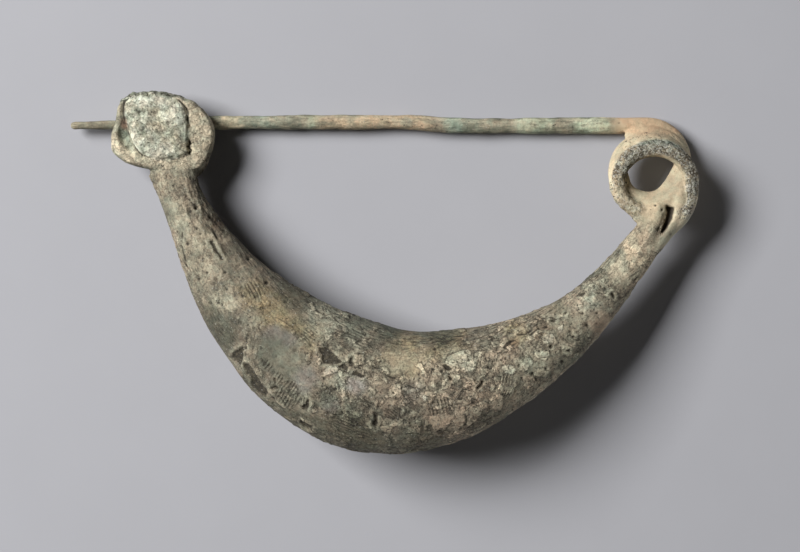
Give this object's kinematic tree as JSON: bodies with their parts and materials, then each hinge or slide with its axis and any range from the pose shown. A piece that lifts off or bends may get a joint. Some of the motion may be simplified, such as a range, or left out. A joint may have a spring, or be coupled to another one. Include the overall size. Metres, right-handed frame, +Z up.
{
  "type": "fibula brooch",
  "caption": "Ancient bronze bow brooch: a swollen leech-shaped bow, a coiled spring and a long straight pin held behind a dished disc head.",
  "frame": {"origin": "centre of the bounding box's bottom, on the surface that the brooch lies on", "axes": "+X along the pin from its tip to the spring, +Y from the bow to the pin, +Z up out of the front face"},
  "size_m": [0.0896, 0.0512, 0.0168],
  "materials": {
    "bronze": "buried bronze: rough grey-olive and tan crust with dark pits, green and pale mint corrosion on pin, spring and head"
  },
  "bodies": {
    "root": {"fibula": "bronze"}
  },
  "joints": []
}
